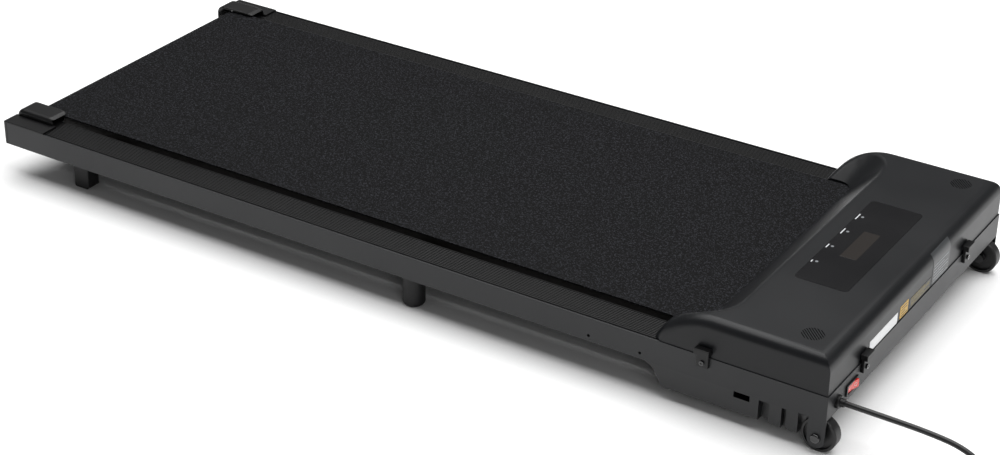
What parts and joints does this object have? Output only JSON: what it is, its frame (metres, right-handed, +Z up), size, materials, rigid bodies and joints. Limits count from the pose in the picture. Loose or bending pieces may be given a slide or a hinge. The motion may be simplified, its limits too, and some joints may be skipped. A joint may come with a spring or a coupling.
{
  "type": "walking treadmill",
  "caption": "Flat walking treadmill: steel side rails, a cushioned deck and running belt between two rollers, and a belt-driven motor under a low front hood with wheels below.",
  "frame": {"origin": "middle of the machine's own box on the floor, without the free cord", "axes": "+X along the machine towards the motor end, +Y across to the far side, +Z up"},
  "size_m": [1.4888, 0.5957, 0.1243],
  "materials": {
    "side_paint": "satin dark grey powder coat",
    "frame_paint": "black powder coat",
    "hood_plastic": "satin moulded plastic",
    "black_plastic": "satin moulded plastic",
    "strip_plastic": "ribbed, matte",
    "panel_plastic": "smooth film",
    "window": "smoked window",
    "lens": "clear lens",
    "belt_cover": "sandy textured running surface",
    "deck_board": "waxed fibreboard",
    "foot_rubber": "matte",
    "wheel_tread": "matte",
    "cord_sheath": "satin sheath",
    "pin_brass": "bright",
    "rocker_red": "translucent",
    "label_white": "printed film, blank",
    "bright_steel": "zinc plated",
    "black_steel": "black oxide",
    "motor_paint": "black enamel",
    "pulley_metal": "machined",
    "board_green": "circuit board"
  },
  "bodies": {
    "frame": {"belly_pan": "hood_plastic", "blank_labels": "label_white", "cable_gland": "black_plastic", "clip_screws": "black_steel", "control_panel": "panel_plastic", "controller_board": "board_green", "cord_coil": "cord_sheath", "deck": "deck_board", "deck_cushions": "foot_rubber", "deck_screws": "bright_steel", "display_board": "board_green", "display_window": "window", "drive_belt": "foot_rubber", "far_end_cap": "black_plastic", "far_foot_strip": "strip_plastic", "far_side_rail": "side_paint", "foot_screws": "bright_steel", "front_axle_nuts": "bright_steel", "front_crossmember": "frame_paint", "front_plate": "side_paint", "front_roller_axle": "bright_steel", "heat_sink": "pulley_metal", "hood": "hood_plastic", "hood_clips": "black_plastic", "indicator_lenses": "lens", "middle_crossmember": "frame_paint", "middle_feet": "foot_rubber", "motor_bed": "frame_paint", "motor_cradle": "frame_paint", "motor_housing": "motor_paint", "motor_screws": "bright_steel", "near_end_cap": "black_plastic", "near_foot_strip": "strip_plastic", "near_side_rail": "side_paint", "pan_screws": "bright_steel", "plug_body": "cord_sheath", "plug_pins": "pin_brass", "power_cord": "cord_sheath", "rear_crossmember": "frame_paint", "rear_end_brackets": "frame_paint", "rear_feet": "foot_rubber", "roller_brackets": "frame_paint", "running_belt": "belt_cover", "speakers": "black_plastic", "switch_housing": "black_plastic", "wheel_bolts": "black_steel"},
    "front_roller": {"front_roller_tube": "bright_steel", "front_roller_bearings": "bright_steel", "roller_pulley": "pulley_metal"},
    "rear_axle": {"rear_roller_axle": "bright_steel"},
    "rear_roller": {"rear_roller_tube": "bright_steel", "rear_roller_bearings": "bright_steel"},
    "rotor": {"motor_rotor": "bright_steel", "motor_pulley": "pulley_metal", "cooling_fan": "black_plastic"},
    "near_wheel": {"near_wheel": "wheel_tread"},
    "far_wheel": {"far_wheel": "wheel_tread"},
    "rocker": {"switch_rocker": "rocker_red"},
    "near_bolt": {"near_tension_bolt": "black_steel"},
    "far_bolt": {"far_tension_bolt": "black_steel"}
  },
  "joints": [
    {"name": "front_roller_spin", "type": "hinge", "parent": "frame", "child": "front_roller", "pos_m": [0.466, 0, 0.0619], "axis": [0, 1, 0], "continuous": true},
    {"name": "near_bolt_turn", "type": "hinge", "parent": "frame", "child": "near_bolt", "pos_m": [-0.5725, -0.232, 0.0619], "axis": [1, 0, 0], "range_deg": [0, 1800]},
    {"name": "far_bolt_turn", "type": "hinge", "parent": "frame", "child": "far_bolt", "pos_m": [-0.5725, 0.232, 0.0619], "axis": [1, 0, 0], "range_deg": [0, 1800]},
    {"name": "rear_axle_slide", "type": "slide", "parent": "frame", "child": "rear_axle", "axis": [1, 0, 0], "range_m": [0, 0.005]},
    {"name": "rear_roller_spin", "type": "hinge", "parent": "rear_axle", "child": "rear_roller", "pos_m": [-0.5725, 0, 0.0619], "axis": [0, 1, 0], "continuous": true},
    {"name": "rotor_spin", "type": "hinge", "parent": "frame", "child": "rotor", "pos_m": [0.528, 0, 0.066], "axis": [0, 1, 0], "continuous": true},
    {"name": "near_wheel_spin", "type": "hinge", "parent": "frame", "child": "near_wheel", "pos_m": [0.586, -0.236, 0.0215], "axis": [0, 1, 0], "continuous": true},
    {"name": "far_wheel_spin", "type": "hinge", "parent": "frame", "child": "far_wheel", "pos_m": [0.586, 0.236, 0.0215], "axis": [0, 1, 0], "continuous": true},
    {"name": "rocker_tilt", "type": "hinge", "parent": "frame", "child": "rocker", "pos_m": [0.5935, -0.1875, 0.0595], "axis": [0, 0, 1], "range_deg": [0, 18]}
  ],
  "couplings": [
    {"joint": "rear_roller_spin", "follows": "front_roller_spin", "ratio": 1},
    {"joint": "rotor_spin", "follows": "front_roller_spin", "ratio": 2.0769},
    {"joint": "near_bolt_turn", "follows": "rear_axle_slide", "rad_per_m": 6283.2},
    {"joint": "far_bolt_turn", "follows": "rear_axle_slide", "rad_per_m": 6283.2}
  ]
}
